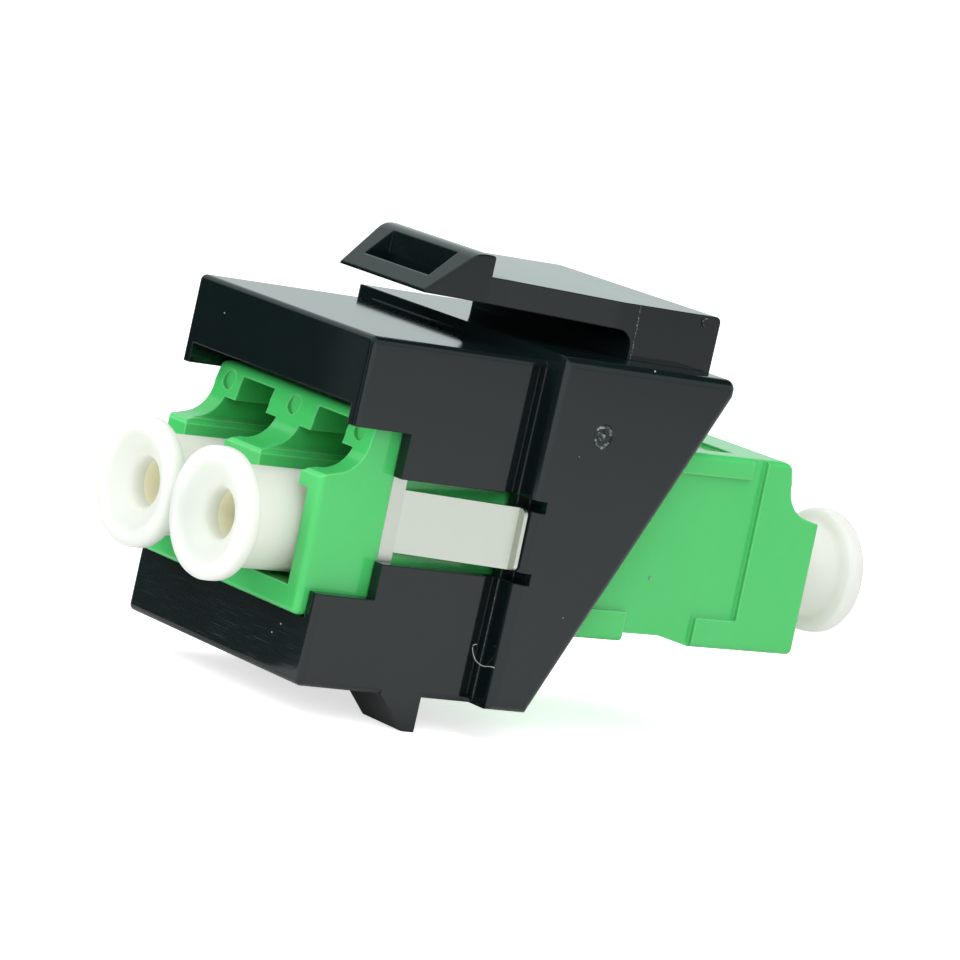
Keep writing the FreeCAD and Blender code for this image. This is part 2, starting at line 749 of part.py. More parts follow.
def build_clip():
    """The clip in the adapter's frame, its strip in the channel at the adapter's front."""
    body = new_body("retention_clip")
    front = "(sizes.recess_margin + sizes.adapter_seat)"
    rear = "(%s + sizes.clip_strip)" % front
    inner = "(%s - sizes.recess_deep)" % adapter_half
    outer = "(%s + sizes.clip_thickness)" % inner
    top = "sizes.adapter_tall + sizes.clip_thickness"
    strip = new_sketch(body, "XZ_Plane", "-%s" % front)
    draw_outline(strip, [
        (outer, "sizes.clip_foot"),
        (outer, top),
        ("-%s" % outer, top),
        ("-%s" % outer, "sizes.clip_foot"),
        ("-%s" % inner, "sizes.clip_foot"),
        ("-%s" % inner, "sizes.adapter_tall"),
        (inner, "sizes.adapter_tall"),
        (inner, "sizes.clip_foot"),
    ])
    add_feature(body, "Pad", strip, "sizes.clip_strip", backwards=True)
    tip = "(sizes.block_depth - sizes.fit_clearance + sizes.adapter_overhang)"
    lift = "(%s + %s) / 2 * sin(sizes.adapter_tilt)" % (rear, tip)
    leaf_foot = "sizes.slot_middle - %s - %s - sizes.leaf_tall / 2" % (adapter_floor, lift)
    lip_end = "(%s + sizes.leaf_flare + sizes.leaf_lip)" % outer
    leaf = new_sketch(body, "XY_Plane", leaf_foot)
    draw_outline(leaf, [
        (inner, "%s - sizes.clip_strip / 2" % rear),
        (outer, "%s - sizes.clip_strip / 2" % rear),
        (outer, rear),
        ("%s + sizes.leaf_flare" % outer, "%s - sizes.clip_thickness" % tip),
        (lip_end, "%s - sizes.clip_thickness" % tip),
        (lip_end, tip),
        ("%s + sizes.leaf_flare" % inner, tip),
        (inner, rear),
    ])
    bent = add_feature(body, "Pad", leaf, "sizes.leaf_tall")
    mirror(body, bent)
    side = value(lip_end)

    def lip_corner(first, second):
        return near(abs(first.x), side) and near(first.x, second.x) and near(first.z, second.z)

    dress(body, "Fillet", lip_corner, "sizes.edge_round")
    seat_on_adapter(body, "0", "0", "0")
    return body


# Dust caps: dished flange on a hollow stem

def build_cap(label, centre, at_back):
    """A cap turned round its axis, its flange at Y 0 facing -Y."""
    body = new_body(label)
    half = new_sketch(body, "XY_Plane")
    rim = "sizes.flange_diameter / 2"
    stem = "sizes.stem_diameter / 2"
    reach = "sizes.rear_cap_reach" if at_back else "sizes.cap_reach"
    end = "(%s + sizes.stem_insertion)" % reach
    draw_outline(half, [
        ("0", "sizes.dish_deep + sizes.cap_bore_deep"),
        ("sizes.cap_bore / 2", "sizes.dish_deep + sizes.cap_bore_deep"),
        ("sizes.cap_bore / 2", "sizes.dish_deep"),
        ("sizes.dish_diameter / 2", "0"),
        ("%s - sizes.flange_thickness / 4" % rim, "0"),
        (rim, "sizes.flange_thickness / 4"),
        (rim, "sizes.flange_thickness"),
        (stem, "sizes.flange_thickness + sizes.edge_round"),
        (stem, "%s - sizes.edge_round" % end),
        ("%s - sizes.edge_round" % stem, end),
        ("sizes.stem_bore / 2", end),
        ("sizes.stem_bore / 2", "%s - sizes.stem_bore_deep" % end),
        ("0", "%s - sizes.stem_bore_deep" % end),
    ], arcs={4: ("sizes.flange_thickness / 4", 1)})
    turned = body.newObject("PartDesign::Revolution", label + "_revolution")
    turned.Profile = half
    turned.ReferenceAxis = (half, ["V_Axis"])
    turned.Angle = 360
    doc.recompute()
    along = "sizes.adapter_length + %s" % reach if at_back else "-%s" % reach
    seat_on_adapter(body, centre, along, "sizes.port_rise", at_back)
    return body


left_port = "-sizes.port_pitch / 2"
right_port = "sizes.port_pitch / 2"
pieces = [
    build_housing(),
    build_arm(),
    build_adapter_half("adapter_front", False),
    build_adapter_half("adapter_rear", True),
    build_sleeve("sleeve_left", left_port),
    build_sleeve("sleeve_right", right_port),
    build_clip(),
    build_cap("dust_cap_front_left", left_port, False),
    build_cap("dust_cap_front_right", right_port, False),
    build_cap("dust_cap_rear_left", left_port, True),
    build_cap("dust_cap_rear_right", right_port, True),
]
doc.recompute()

for item in doc.Objects:
    if "Invalid" in item.State or "Error" in item.State:
        raise ValueError("%s did not compute" % item.Label)

os.makedirs("parts", exist_ok=True)
for piece in pieces:
    if piece.Shape.isNull() or not piece.Shape.isValid():
        raise ValueError("%s has no valid shape" % piece.Label)
    piece.Shape.exportStep(os.path.join("parts", piece.Label + ".step"))
    print(piece.Label, round(piece.Shape.Volume, 2), len(piece.Shape.Solids))
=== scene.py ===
import math
import random

import bpy
from mathutils import Matrix, Vector


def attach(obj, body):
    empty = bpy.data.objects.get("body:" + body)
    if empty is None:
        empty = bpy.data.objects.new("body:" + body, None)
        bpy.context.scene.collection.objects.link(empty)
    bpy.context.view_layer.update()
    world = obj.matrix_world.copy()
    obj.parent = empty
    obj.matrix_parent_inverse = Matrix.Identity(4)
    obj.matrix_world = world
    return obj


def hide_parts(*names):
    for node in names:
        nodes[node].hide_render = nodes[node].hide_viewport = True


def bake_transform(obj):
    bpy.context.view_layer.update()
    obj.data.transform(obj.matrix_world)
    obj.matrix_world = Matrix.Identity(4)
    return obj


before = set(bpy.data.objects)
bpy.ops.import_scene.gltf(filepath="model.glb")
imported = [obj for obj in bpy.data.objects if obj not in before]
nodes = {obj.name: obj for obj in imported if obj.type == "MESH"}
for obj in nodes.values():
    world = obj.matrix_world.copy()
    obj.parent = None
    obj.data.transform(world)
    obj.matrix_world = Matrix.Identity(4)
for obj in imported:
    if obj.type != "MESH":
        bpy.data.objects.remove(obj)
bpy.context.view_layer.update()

mm = 0.001


def linear(hexColour):
    channels = [int(hexColour[i:i + 2], 16) / 255 for i in (1, 3, 5)]
    return tuple(c / 12.92 if c <= 0.04045 else ((c + 0.055) / 1.055) ** 2.4 for c in channels) + (1.0,)


def addNode(tree, kind, settings=None, links=None):
    node = tree.nodes.new("ShaderNode" + kind)
    for name, value in (settings or {}).items():
        if isinstance(name, str) and hasattr(node, name):
            setattr(node, name, value)
        else:
            node.inputs[name].default_value = value
    for name, source in (links or {}).items():
        tree.links.new(source, node.inputs[name])
    return node


def newMaterial(name):
    material = bpy.data.materials.new(name)
    material.use_nodes = True
    tree = material.node_tree
    tree.nodes.clear()
    output = tree.nodes.new("ShaderNodeOutputMaterial")
    return material, tree, output


def deselectAll():
    for thing in list(bpy.context.selected_objects):
        thing.select_set(False)
    bpy.context.view_layer.objects.active = None


def makeActive(thing):
    deselectAll()
    thing.select_set(True)
    bpy.context.view_layer.objects.active = thing


def smoothBelow(piece, degrees):
    makeActive(piece)
    bpy.ops.object.shade_smooth_by_angle(angle=math.radians(degrees))


print("materials")

# moulded ABS, black and glossy: wide faces mirror the pale room softly, small faces stay nearly black
blackAbs = {
    "colour": "#0a1414",
    "cloud": "#0e1819",
    "cloudSize": 4 * mm,
    "roughness": 0.07,
    "roughnessSpread": (-0.01, 0.03),
    "grain": 0.15 * mm,
    "grainDepth": 0.004 * mm,
    "grainStrength": 0.1,
    "edge": 0.10 * mm,            # soft rounding of every sharp edge
    "ior": 1.45,
    "streak": 0.05 * mm,          # width of the drag lines on the sill under the mouth
    "streakStretch": 0.025,
    "streakLean": 6,
    "streakColour": "#2c3739",
    "streakSpread": (0.56, 0.8),
    "streakDull": 0.25,           # how much rougher a drag line is
    "streakTop": (2.9 * mm, 2.32 * mm),
    "streakBack": (0.06 * mm, 0.02 * mm),
}


def makeAbs(name, values):
    material, tree, output = newMaterial(name)
    place = addNode(tree, "TexCoord").outputs["Object"]
    cloud = addNode(tree, "TexNoise", {"Scale": 1 / values["cloudSize"], "Detail": 3.0}, {"Vector": place})
    tint = addNode(tree, "MixRGB", {"Color1": linear(values["colour"]), "Color2": linear(values["cloud"])},
                   {"Fac": cloud.outputs["Fac"]})
    # drag lines, only low on the front face
    drag = addNode(tree, "Mapping",
                   {"Rotation": (0.0, math.radians(values["streakLean"]), 0.0),
                    "Scale": (values["streakStretch"], 1.0, 1.0)}, {"Vector": place})
    lines = addNode(tree, "TexNoise", {"Scale": 1 / values["streak"], "Detail": 3.0},
                    {"Vector": drag.outputs["Vector"]})
    thin = addNode(tree, "MapRange", {"From Min": values["streakSpread"][0], "From Max": values["streakSpread"][1]},
                   {"Value": lines.outputs["Fac"]})
    parts = addNode(tree, "SeparateXYZ", None, {"Vector": place})
    low = addNode(tree, "MapRange", {"From Min": values["streakTop"][0], "From Max": values["streakTop"][1]},
                  {"Value": parts.outputs["Z"]})
    front = addNode(tree, "MapRange", {"From Min": values["streakBack"][0], "From Max": values["streakBack"][1]},
                    {"Value": parts.outputs["Y"]})
    where = addNode(tree, "Math", {"operation": "MULTIPLY"}, {0: low.outputs["Result"], 1: front.outputs["Result"]})
    amount = addNode(tree, "Math", {"operation": "MULTIPLY"}, {0: where.outputs["Value"], 1: thin.outputs["Result"]})
    worn = addNode(tree, "MixRGB", {"Color2": linear(values["streakColour"])},
                   {"Fac": amount.outputs["Value"], "Color1": tint.outputs["Color"]})
    grain = addNode(tree, "TexNoise", {"Scale": 1 / values["grain"], "Detail": 2.0}, {"Vector": place})
    soft = addNode(tree, "Bevel", {"samples": 4, "Radius": values["edge"]})
    bump = addNode(tree, "Bump", {"Strength": values["grainStrength"], "Distance": values["grainDepth"]},
                   {"Height": grain.outputs["Fac"], "Normal": soft.outputs["Normal"]})
    gloss = addNode(tree, "MapRange",
                    {"To Min": values["roughness"] + values["roughnessSpread"][0],
                     "To Max": values["roughness"] + values["roughnessSpread"][1]}, {"Value": cloud.outputs["Fac"]})
    dull = addNode(tree, "MapRange", {"To Min": 0.0, "To Max": values["streakDull"]},
                   {"Value": amount.outputs["Value"]})
    rough = addNode(tree, "Math", {"operation": "ADD"}, {0: gloss.outputs["Result"], 1: dull.outputs["Result"]})
    shader = addNode(tree, "BsdfPrincipled", {"IOR": values["ior"]},
                     {"Base Color": worn.outputs["Color"], "Roughness": rough.outputs["Value"],
                      "Normal": bump.outputs["Normal"]})
    tree.links.new(shader.outputs["BSDF"], output.inputs["Surface"])
    return material


mouldedAbs = makeAbs("moulded_abs_black", blackAbs)

# torn ABS: flash at parting lines and the ejector's torn mark; its pale grey is a painted sheen for the light its
# rough skin scatters
flash = {
    "colour": "#2f383a",
    "pale": "#8a9492",
    "paintedSheenSpread": (0.46, 0.66),
    "roughness": 0.45,
    "grain": 0.16 * mm,
    "grainDepth": 0.02 * mm,
    "grainStrength": 0.6,
}


def makeFlash(name, values):
    material, tree, output = newMaterial(name)
    place = addNode(tree, "TexCoord").outputs["Object"]
    grain = addNode(tree, "TexNoise", {"Scale": 1 / values["grain"], "Detail": 3.0}, {"Vector": place})
    spread = addNode(tree, "MapRange", {"From Min": values["paintedSheenSpread"][0], "From Max": values["paintedSheenSpread"][1]},
                     {"Value": grain.outputs["Fac"]})
    # painted sheen: the base colour pales with the grain
    tint = addNode(tree, "MixRGB", {"Color1": linear(values["colour"]), "Color2": linear(values["pale"])},
                   {"Fac": spread.outputs["Result"]})
    bump = addNode(tree, "Bump", {"Strength": values["grainStrength"], "Distance": values["grainDepth"]},
                   {"Height": grain.outputs["Fac"]})
    shader = addNode(tree, "BsdfPrincipled", {"Roughness": values["roughness"]},
                     {"Base Color": tint.outputs["Color"], "Normal": bump.outputs["Normal"]})
    tree.links.new(shader.outputs["BSDF"], output.inputs["Surface"])
    return material


tornAbs = makeFlash("torn_abs_flash", flash)

# moulded PBT, green: slightly translucent, so its thin walls glow; its rounded edges get a painted pale highlight
greenPbt = {
    "colour": "#42bb61",
    "cloud": "#4ac069",
    "cloudSize": 3 * mm,
    "rim": "#a5ecb6",             # painted highlight colour on rounded edges
    "rimSpread": (0.995, 0.90),   # how far the soft normal turns at a rim, as a cosine
    "rimAmount": 0.4,
    "roughness": 0.13,
    "grain": 0.05 * mm,
    "grainDepth": 0.006 * mm,
    "grainStrength": 0.1,
    "edge": 0.12 * mm,
    "ior": 1.5,
    "glow": 0.3,
    "glowColour": (0.3, 1.0, 0.4),
    "glowDepth": 0.5 * mm,
}


def makePbt(name, values):
    material, tree, output = newMaterial(name)
    place = addNode(tree, "TexCoord").outputs["Object"]
    cloud = addNode(tree, "TexNoise", {"Scale": 1 / values["cloudSize"], "Detail": 3.0}, {"Vector": place})
    tint = addNode(tree, "MixRGB", {"Color1": linear(values["colour"]), "Color2": linear(values["cloud"])},
                   {"Fac": cloud.outputs["Fac"]})
    grain = addNode(tree, "TexNoise", {"Scale": 1 / values["grain"], "Detail": 2.0}, {"Vector": place})
    soft = addNode(tree, "Bevel", {"samples": 4, "Radius": values["edge"]})
    bump = addNode(tree, "Bump", {"Strength": values["grainStrength"], "Distance": values["grainDepth"]},
                   {"Height": grain.outputs["Fac"], "Normal": soft.outputs["Normal"]})
    flat = addNode(tree, "NewGeometry")
    turned = addNode(tree, "VectorMath", {"operation": "DOT_PRODUCT"},
                     {0: soft.outputs["Normal"], 1: flat.outputs["Normal"]})
    # painted highlight: a paler colour mixed in where the soft normal turns at a rounded edge
    atPaintedHighlight = addNode(tree, "MapRange",
                    {"From Min": values["rimSpread"][0], "From Max": values["rimSpread"][1],
                     "To Max": values["rimAmount"]},
                    {"Value": turned.outputs["Value"]})
    rimmed = addNode(tree, "MixRGB", {"Color2": linear(values["rim"])},
                     {"Fac": atPaintedHighlight.outputs["Result"], "Color1": tint.outputs["Color"]})
    shader = addNode(tree, "BsdfPrincipled",
                     {"Roughness": values["roughness"], "IOR": values["ior"], "Subsurface Weight": values["glow"],
                      "Subsurface Radius": values["glowColour"], "Subsurface Scale": values["glowDepth"]},
                     {"Base Color": rimmed.outputs["Color"], "Normal": bump.outputs["Normal"]})
    tree.links.new(shader.outputs["BSDF"], output.inputs["Surface"])
    return material


mouldedPbt = makePbt("moulded_pbt_green", greenPbt)

# moulded polyethylene, natural white: waxy and milky, light soaks millimetres in; a cream copy of it paints the warm
# light deep in the bore
polyethylene = {
    "colour": "#d2d6ce",
    "paintedBoreLight": "#eee9cf",
    "roughness": 0.42,
    "grain": 0.1 * mm,
    "grainDepth": 0.006 * mm,
    "grainStrength": 0.15,
    "ior": 1.51,
    "soak": 4.0 * mm,
    "soakColour": (1.0, 0.95, 0.85),
}


def makePolyethylene(name, colour, values):
    material, tree, output = newMaterial(name)
    place = addNode(tree, "TexCoord").outputs["Object"]
    grain = addNode(tree, "TexNoise", {"Scale": 1 / values["grain"], "Detail": 2.0}, {"Vector": place})
    bump = addNode(tree, "Bump", {"Strength": values["grainStrength"], "Distance": values["grainDepth"]},
                   {"Height": grain.outputs["Fac"]})
    shader = addNode(tree, "BsdfPrincipled",
                     {"Base Color": linear(colour), "Roughness": values["roughness"], "IOR": values["ior"],
                      "Subsurface Weight": 1.0, "Subsurface Radius": values["soakColour"],
                      "Subsurface Scale": values["soak"]},
                     {"Normal": bump.outputs["Normal"]})
    tree.links.new(shader.outputs["BSDF"], output.inputs["Surface"])
    return material


mouldedPolyethylene = makePolyethylene("moulded_polyethylene_white", polyethylene["colour"], polyethylene)
paintedBoreLightPolyethylene = makePolyethylene("moulded_polyethylene_painted_bore_light", polyethylene["paintedBoreLight"], polyethylene)

# rolled spring steel: bright strip with fine lines along its length
springSteel = {
    "colour": "#ccd0c6",
    "roughness": 0.34,
    "roughnessSpread": (-0.05, 0.08),
    "lines": 0.03 * mm,
    "lineStretch": 0.02,
    "lineDepth": 0.002 * mm,
    "lineStrength": 0.1,
}


def makeSteel(name, values):
    material, tree, output = newMaterial(name)
    place = addNode(tree, "TexCoord").outputs["Object"]
    stretch = addNode(tree, "Mapping", {"Scale": (1.0, values["lineStretch"], 1.0)}, {"Vector": place})
    lines = addNode(tree, "TexNoise", {"Scale": 1 / values["lines"], "Detail": 2.0},
                    {"Vector": stretch.outputs["Vector"]})
    gloss = addNode(tree, "MapRange",
                    {"To Min": values["roughness"] + values["roughnessSpread"][0],
                     "To Max": values["roughness"] + values["roughnessSpread"][1]}, {"Value": lines.outputs["Fac"]})
    bump = addNode(tree, "Bump", {"Strength": values["lineStrength"], "Distance": values["lineDepth"]},
                   {"Height": lines.outputs["Fac"]})
    shader = addNode(tree, "BsdfPrincipled", {"Base Color": linear(values["colour"]), "Metallic": 1.0},
                     {"Roughness": gloss.outputs["Result"], "Normal": bump.outputs["Normal"]})
    tree.links.new(shader.outputs["BSDF"], output.inputs["Surface"])
    return material


rolledSteel = makeSteel("rolled_spring_steel", springSteel)

# zirconia: dense white ceramic, ground round, so fine rings catch the light
zirconia = {
    "colour": "#f1efe8",
    "roughness": (0.1, 0.25),
    "ior": 2.1,
    "rings": 0.04 * mm,
    "ringStretch": 0.02,
}


def makeZirconia(name, values):
    material, tree, output = newMaterial(name)
    place = addNode(tree, "TexCoord").outputs["Object"]
    stretch = addNode(tree, "Mapping", {"Scale": (values["ringStretch"], 1.0, values["ringStretch"])},
                      {"Vector": place})
    rings = addNode(tree, "TexNoise", {"Scale": 1 / values["rings"]}, {"Vector": stretch.outputs["Vector"]})
    gloss = addNode(tree, "MapRange", {"To Min": values["roughness"][0], "To Max": values["roughness"][1]},
                    {"Value": rings.outputs["Fac"]})
    shader = addNode(tree, "BsdfPrincipled", {"Base Color": linear(values["colour"]), "IOR": values["ior"]},
                     {"Roughness": gloss.outputs["Result"]})
    tree.links.new(shader.outputs["BSDF"], output.inputs["Surface"])
    return material


groundZirconia = makeZirconia("ground_zirconia", zirconia)

# lint: a dull pale textile fibre
lint = {
    "colour": "#7f8887",
    "pale": "#b9c2b8",
    "grain": 0.1 * mm,
    "roughness": 0.9,
}


def makeLint(name, values):
    material, tree, output = newMaterial(name)
    place = addNode(tree, "TexCoord").outputs["Object"]
    grain = addNode(tree, "TexNoise", {"Scale": 1 / values["grain"]}, {"Vector": place})
    tint = addNode(tree, "MixRGB", {"Color1": linear(values["colour"]), "Color2": linear(values["pale"])},
                   {"Fac": grain.outputs["Fac"]})
    shader = addNode(tree, "BsdfPrincipled", {"Roughness": values["roughness"]}, {"Base Color": tint.outputs["Color"]})
    tree.links.new(shader.outputs["BSDF"], output.inputs["Surface"])
    return material


greyLint = makeLint("grey_lint", lint)

finishes = {
    "keystone_housing": mouldedAbs,
    "latch_arm": mouldedAbs,
    "adapter_front": mouldedPbt,
    "adapter_rear": mouldedPbt,
    "sleeve_left": groundZirconia,
    "sleeve_right": groundZirconia,
    "retention_clip": rolledSteel,
}
for name, material in finishes.items():
    for slot in nodes[name].material_slots:
        slot.material = material


print("dust caps")

# dust caps: turned outline from the bore's floor round the flange to the hollow stem, as radius and depth
cap = {
    "steps": 96,
    "outline": [
        (0.0, 4.6), (1.12, 4.6), (1.12, 1.9), (1.12, 1.5), (1.13, 1.15), (1.17, 0.9), (1.25, 0.76), (1.38, 0.68),
        (1.65, 0.58), (1.95, 0.44), (2.25, 0.27), (2.36, 0.13), (2.46, 0.04), (2.58, 0.0), (2.86, 0.03), (2.98, 0.11),
        (3.04, 0.24), (3.05, 0.4), (3.05, 0.74), (3.03, 0.88), (2.96, 0.97), (2.84, 1.01), (2.6, 1.03), (2.46, 1.08),
        (2.38, 1.2), (2.35, 1.4), (2.35, 10.15), (2.31, 10.38), (2.2, 10.5), (2.05, 10.55), (1.7, 10.55), (1.7, 5.55),
        (0.0, 5.55),
    ],
    "paintedBoreLightDepth": 1.5,            # below this the bore's wall gets the cream copy with painted warm light
    "paintedBoreLightRadius": 1.2,
    "stemFrom": 5.0,              # the outline's points deeper than this go with the stem's length
    "adapterPlace": (0.0, -0.5, 3.08),
    "adapterLean": 1.2,
    "axisHeight": 3.7,
    "axisSide": 3.125,
    "frontFace": -3.55,
    "rearFace": 33.4,
    "rearTrim": 0.25,             # the rear stems are this much longer
    "sameSpot": 0.0005,
    "smoothAngle": 50,
}


def makeCap(name, side, atBack):
    outline = cap["outline"]
    longer = cap["rearTrim"] if atBack else 0.0
    deselectAll()
    bpy.ops.mesh.primitive_circle_add(vertices=len(outline), fill_type="NOTHING")
    piece = bpy.context.object
    piece.name = name
    for vertex, (radius, depth) in zip(piece.data.vertices, outline):
        vertex.co = (radius * mm, (depth + (longer if depth > cap["stemFrom"] else 0.0)) * mm, 0.0)
    bpy.ops.object.mode_set(mode="EDIT")
    bpy.ops.mesh.select_all(action="SELECT")
    bpy.ops.mesh.spin(steps=cap["steps"], angle=math.radians(360), center=(0, 0, 0), axis=(0, 1, 0))
    bpy.ops.mesh.select_all(action="SELECT")
    bpy.ops.mesh.remove_doubles(threshold=cap["sameSpot"] * mm)
    bpy.ops.mesh.normals_make_consistent(inside=False)
    bpy.ops.object.mode_set(mode="OBJECT")
    piece.data.materials.append(mouldedPolyethylene)
    piece.data.materials.append(paintedBoreLightPolyethylene)
    boreFloor = (outline[0][1] + cap["sameSpot"]) * mm
    # faces deep in the bore take the cream copy, which is painted warm light
    for face in piece.data.polygons:
        middle = face.center
        inBore = cap["paintedBoreLightDepth"] * mm < middle.y < boreFloor
        if inBore and math.hypot(middle.x, middle.z) < cap["paintedBoreLightRadius"] * mm:
            face.material_index = 1
    faceAt = cap["rearFace"] if atBack else cap["frontFace"]
    base = Matrix.Translation(Vector(cap["adapterPlace"]) * mm)
    lean = Matrix.Rotation(math.radians(cap["adapterLean"]), 4, "X")
    port = Matrix.Translation(Vector((side * cap["axisSide"], faceAt, cap["axisHeight"])) * mm)
    turn = Matrix.Rotation(math.radians(180 if atBack else 0), 4, "Z")
    piece.data.transform(base @ lean @ port @ turn)
    smoothBelow(piece, cap["smoothAngle"])
    return piece


for end, atBack in (("front", False), ("rear", True)):
    for word, side in (("left", -1), ("right", 1)):
        capPiece = makeCap("moulded_cap_%s_%s" % (end, word), side, atBack)
        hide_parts("dust_cap_%s_%s" % (end, word))
        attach(capPiece, "cap_%s_%s" % (end, word))


print("latch root")

# latch root: one moulded skin from the arm round the slot's corner onto the post, open at both ends
root = {
    "armStart": 9.0,
    "end": 17.6,
    "armTop": 19.28,
    "armBottom": 18.03,
    "foot": 16.70,
    "postFront": 15.25,
    "topSteps": (11.0, 13.0, 14.0, 14.4, 14.8, 15.25, 15.8, 16.6),
    "footSteps": (16.6, 15.8),
    "armSteps": (14.0, 13.0, 11.0),
    "cornerRound": 0.85,
    "cornerSteps": 10,
    "proud": 0.012,               # how far the skin stands off the arm and the post
    "thin": 0.003,                # how far at its two ends
    "proudFrom": 13.0,
    "proudTo": 15.4,
    "widthAtStart": (9.0, 4.307),
    "widthAtPost": (14.4, 6.2),
    "bendStart": 14.1,
    "bendEnd": 14.9,
    "smoothAngle": 20,
}


def rootWidth(y):
    (y0, w0), (y1, w1) = root["widthAtStart"], root["widthAtPost"]
    return w0 + (w1 - w0) * min(1.0, (y - y0) / (y1 - y0))


def rootProud(y):
    rise = min(1.0, (y - root["armStart"]) / (root["proudFrom"] - root["armStart"]))
    fall = min(1.0, max(0.0, (root["end"] - y) / (root["end"] - root["proudTo"])))
    return root["thin"] + (root["proud"] - root["thin"]) * min(rise, fall)


def rootOutline():
    start, end, foot = root["armStart"], root["end"], root["foot"]
    wall = root["postFront"] - root["proud"]
    roof = root["armBottom"] - root["proud"]
    points = [(y, root["armTop"] + rootProud(y)) for y in (start,) + root["topSteps"] + (end,)]
    points += [(y, foot) for y in (end,) + root["footSteps"] + (wall,)]
    for step in range(root["cornerSteps"] + 1):
        angle = math.radians(90 * step / root["cornerSteps"])
        points.append((wall - root["cornerRound"] + root["cornerRound"] * math.cos(angle),
                       roof - root["cornerRound"] + root["cornerRound"] * math.sin(angle)))
    points += [(y, root["armBottom"] - rootProud(y)) for y in root["armSteps"] + (start,)]
    return points


def makeRoot(name):
    outline = rootOutline()
    deselectAll()
    bpy.ops.mesh.primitive_circle_add(vertices=len(outline), fill_type="NGON")
    piece = bpy.context.object
    piece.name = name
    for vertex, (y, z) in zip(piece.data.vertices, outline):
        vertex.co = (0.0, y * mm, z * mm)
    bpy.ops.object.mode_set(mode="EDIT")
    bpy.ops.mesh.select_all(action="SELECT")
    bpy.ops.mesh.quads_convert_to_tris(ngon_method="BEAUTY")
    bpy.ops.mesh.extrude_region_move(TRANSFORM_OT_translate={"value": (1 * mm, 0, 0)})
    bpy.ops.mesh.select_all(action="SELECT")
    bpy.ops.mesh.normals_make_consistent(inside=False)
    bpy.ops.object.mode_set(mode="OBJECT")
    for vertex in piece.data.vertices:
        y = vertex.co.y / mm
        side = 1 if vertex.co.x > 0.5 * mm else -1
        vertex.co.x = side * (rootWidth(y) + rootProud(y)) * mm
    bpy.ops.object.mode_set(mode="EDIT")
    bpy.ops.mesh.select_all(action="DESELECT")
    bpy.ops.object.mode_set(mode="OBJECT")
    hidden = ((1, root["armStart"]), (1, root["end"]), (2, root["foot"]))
    for face in piece.data.polygons:      # the end faces and the foot lie inside, so they go
        spots = [piece.data.vertices[v].co for v in face.vertices]
        face.select = any(all(abs(spot[axis] - at * mm) < 0.001 * mm for spot in spots) for axis, at in hidden)
    bpy.ops.object.mode_set(mode="EDIT")
    bpy.ops.mesh.select_mode(type="FACE")
    bpy.ops.mesh.delete(type="FACE")
    bpy.ops.mesh.select_mode(type="VERT")
    bpy.ops.object.mode_set(mode="OBJECT")
    piece.data.materials.append(mouldedAbs)
    smoothBelow(piece, root["smoothAngle"])
    return piece


rootPiece = makeRoot("latch_root_skin")
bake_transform(rootPiece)


print("flash and dust")

# flash lines on the post, a fibre of lint, and two pale threads that paint highlights (a curl on the post, a line
# along the groove's edge): ragged threads lying on the mouldings
postSeam = [(15.33, 19.24), (15.36, 18.6), (15.38, 17.9), (15.39, 17.2), (15.40, 16.74)]
threads = {
    "flash_post_right": {"thick": 0.05, "jitter": 0.03, "seed": 3, "material": tornAbs,
                         "points": [(6.215, y, z) for y, z in postSeam]},
    "flash_post_left": {"thick": 0.05, "jitter": 0.03, "seed": 5, "material": tornAbs,
                        "points": [(-6.215, y, z) for y, z in postSeam]},
    # painted highlight: a pale thread along the groove's rounded edge, where the light catches it
    "painted_highlight_groove_right": {"thick": 0.02, "jitter": 0.015, "seed": 7, "material": tornAbs,
                           "points": [(7.2, 9.92, z) for z in (0.5, 2.0, 4.0, 5.9)]},
    # painted highlight: a pale curl on the post side, where the light catches it
    "painted_highlight_curl_post": {"thick": 0.05, "jitter": 0.0, "seed": 1, "material": tornAbs,
                  "points": [(6.22, 19.42, 19.14), (6.24, 19.2, 19.08), (6.25, 19.14, 18.93), (6.24, 19.24, 18.8),
                             (6.22, 19.36, 18.72)]},
    "lint_fibre": {"thick": 0.045, "jitter": 0.0, "seed": 2, "material": greyLint,
                   "points": [(7.24, 9.45, 2.80), (7.25, 9.25, 2.72), (7.26, 9.3, 2.45), (7.3, 9.55, 2.05),
                              (7.5, 9.88, 1.86), (7.9, 9.9, 1.95), (8.3, 9.92, 2.0)]},
}
threadShape = {
    "sides": 6,
    "ringGap": 0.12,
    "fewestRings": 12,
    "ragged": (0.2, 1.5),         # least share of the thickness, and how much chance adds, on flash
    "even": (0.8, 0.4),           # the same on a fibre
}


def smoothPoint(points, t):      # Catmull-Rom through the thread's points
    last = len(points) - 1
    place = min(t * last, last - 1e-6)
    i = int(place)
    f = place - i
    a, b, c, d = [Vector(points[min(max(k, 0), last)]) for k in (i - 1, i, i + 1, i + 2)]
    return 0.5 * (2 * b + (c - a) * f + (2 * a - 5 * b + 4 * c - d) * f ** 2 + (3 * b - a - 3 * c + d) * f ** 3)


def threadRings(values, count):
    rng = random.Random(values["seed"])
    least, chance = threadShape["ragged"] if values["jitter"] else threadShape["even"]
    rings = []
    for k in range(count + 1):
        t = k / count
        centre = smoothPoint(values["points"], t)
        ahead = smoothPoint(values["points"], min(1.0, t + 0.01)) - smoothPoint(values["points"], max(0.0, t - 0.01))
        facing = ahead.to_track_quat("Z", "X")
        wide = values["thick"] * (least + chance * rng.random()) / 2
        shift = Vector((0, rng.uniform(-1, 1) * values["jitter"], 0))
        spokes = [math.radians(360 / threadShape["sides"] * j) for j in range(threadShape["sides"])]
        rings.append([(centre + shift + facing @ Vector((math.cos(spoke) * wide, math.sin(spoke) * wide, 0))) * mm
                      for spoke in spokes])
    return rings


